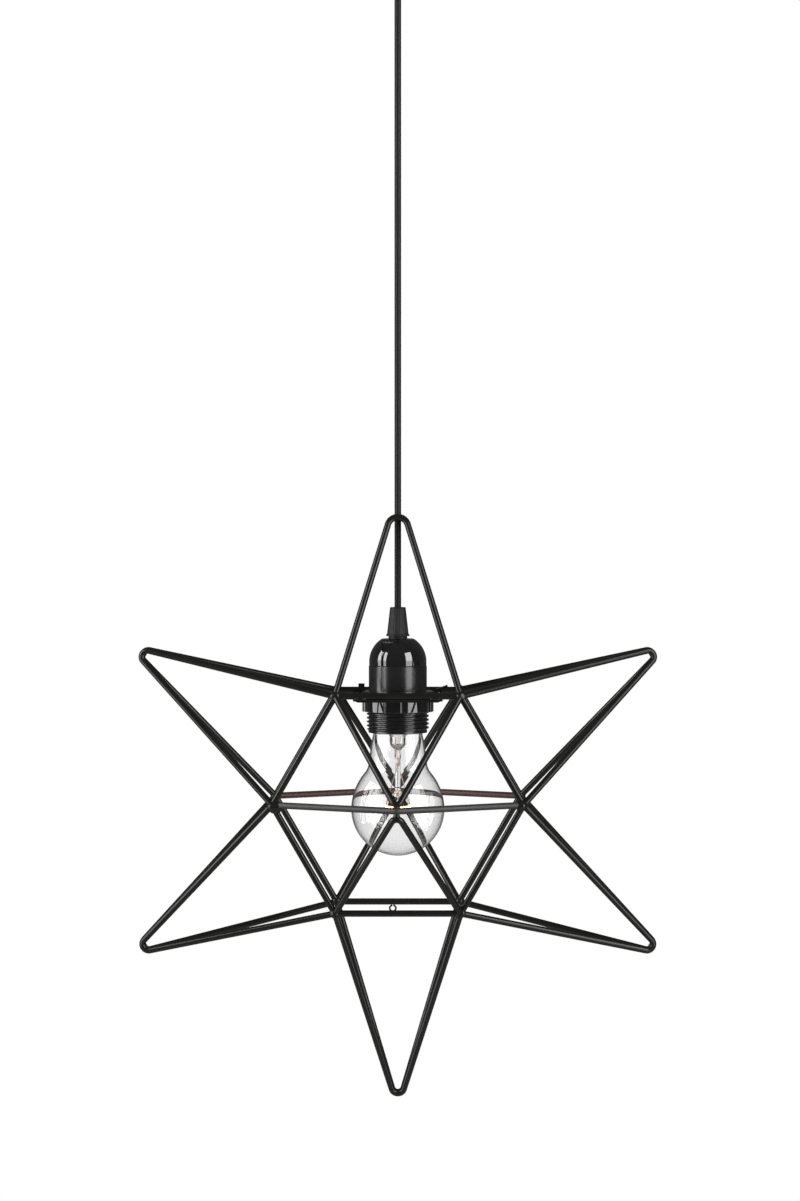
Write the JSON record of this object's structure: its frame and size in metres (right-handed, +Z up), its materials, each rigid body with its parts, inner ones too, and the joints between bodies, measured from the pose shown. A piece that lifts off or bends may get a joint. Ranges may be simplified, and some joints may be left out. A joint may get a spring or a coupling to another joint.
{
  "type": "star pendant lamp",
  "caption": "Open star pendant lamp of welded black bar round a clear bulb, hung on a straight round cord from a plain ceiling cup.",
  "frame": {"origin": "centre of the ceiling face, on top of the ceiling strap", "axes": "+Z up, the lamp hangs below the origin; +X to the viewer's right; -Y faces the viewer, so the star is flattest along Y"},
  "size_m": [0.3334, 0.154, 0.7814],
  "materials": {
    "black_paint": "satin black powder coat",
    "zinc_steel": "bright zinc plate",
    "grey_plastic": "dark grey moulded",
    "white_plastic": "off-white moulded",
    "core_sheath": "brown core sheath",
    "matte_black": "matt black moulded",
    "cord_black": "satin black sheath",
    "gloss_black": "polished black moulded",
    "brass": "plain brass",
    "clear_glass": "clear blown glass",
    "lamp_cap_metal": "bright lamp cap",
    "lead_metal": "bare wire",
    "filament": "glowing filament"
  },
  "bodies": {
    "fitting": {"ceiling_strap": "zinc_steel", "cord_anchor": "grey_plastic", "anchor_screws": "zinc_steel", "terminal_block": "white_plastic", "ceiling_cores": "core_sheath", "cord": "cord_black", "gland_nut": "matte_black", "gland_body": "matte_black", "gland_locknut": "zinc_steel", "holder_cap": "gloss_black", "holder_skirt": "gloss_black", "contact_insert": "white_plastic", "screw_shell": "brass", "centre_contact": "brass", "terminal_pillars": "brass", "terminal_screws": "zinc_steel", "holder_cores": "core_sheath"},
    "cup": {"ceiling_cup": "black_paint", "cord_grip": "matte_black", "grip_nut": "zinc_steel", "grip_screw": "zinc_steel"},
    "star": {"front_hexagon": "black_paint", "rear_hexagon": "black_paint", "front_upper_spokes": "black_paint", "front_cross_spokes": "black_paint", "front_lower_spokes": "black_paint", "front_top_point": "black_paint", "front_upper_right_point": "black_paint", "front_lower_right_point": "black_paint", "front_bottom_point": "black_paint", "front_lower_left_point": "black_paint", "front_upper_left_point": "black_paint", "rear_upper_spokes": "black_paint", "rear_cross_spokes": "black_paint", "rear_lower_spokes": "black_paint", "rear_top_point": "black_paint", "rear_upper_right_point": "black_paint", "rear_lower_right_point": "black_paint", "rear_bottom_point": "black_paint", "rear_lower_left_point": "black_paint", "rear_upper_left_point": "black_paint", "socket_plate": "black_paint", "plate_screw": "black_paint", "ornament_eyelet": "black_paint"},
    "ring": {"shade_ring": "gloss_black"},
    "bulb": {"bulb_glass": "clear_glass", "bulb_cap": "lamp_cap_metal", "cap_insulator": "gloss_black", "cap_contact": "lamp_cap_metal", "bulb_stem": "clear_glass", "stem_rod": "clear_glass", "lead_wires": "lead_metal", "support_wires": "lead_metal", "filament": "filament"}
  },
  "joints": [
    {"name": "cup_slide", "type": "slide", "parent": "fitting", "child": "cup", "axis": [0, 0, -1], "range_m": [0, 0.2]},
    {"name": "star_drop", "type": "slide", "parent": "fitting", "child": "star", "axis": [0, 0, -1], "range_m": [0, 0.02]},
    {"name": "ring_turn", "type": "hinge", "parent": "star", "child": "ring", "pos_m": [0, 0, -0.5227], "axis": [0, 0, -1], "range_deg": [0, 2881]},
    {"name": "bulb_slide", "type": "slide", "parent": "fitting", "child": "bulb", "axis": [0, 0, -1], "range_m": [0, 0.03]}
  ],
  "couplings": [
    {"joint": "ring_turn", "follows": "star_drop", "rad_per_m": 2513.3}
  ]
}
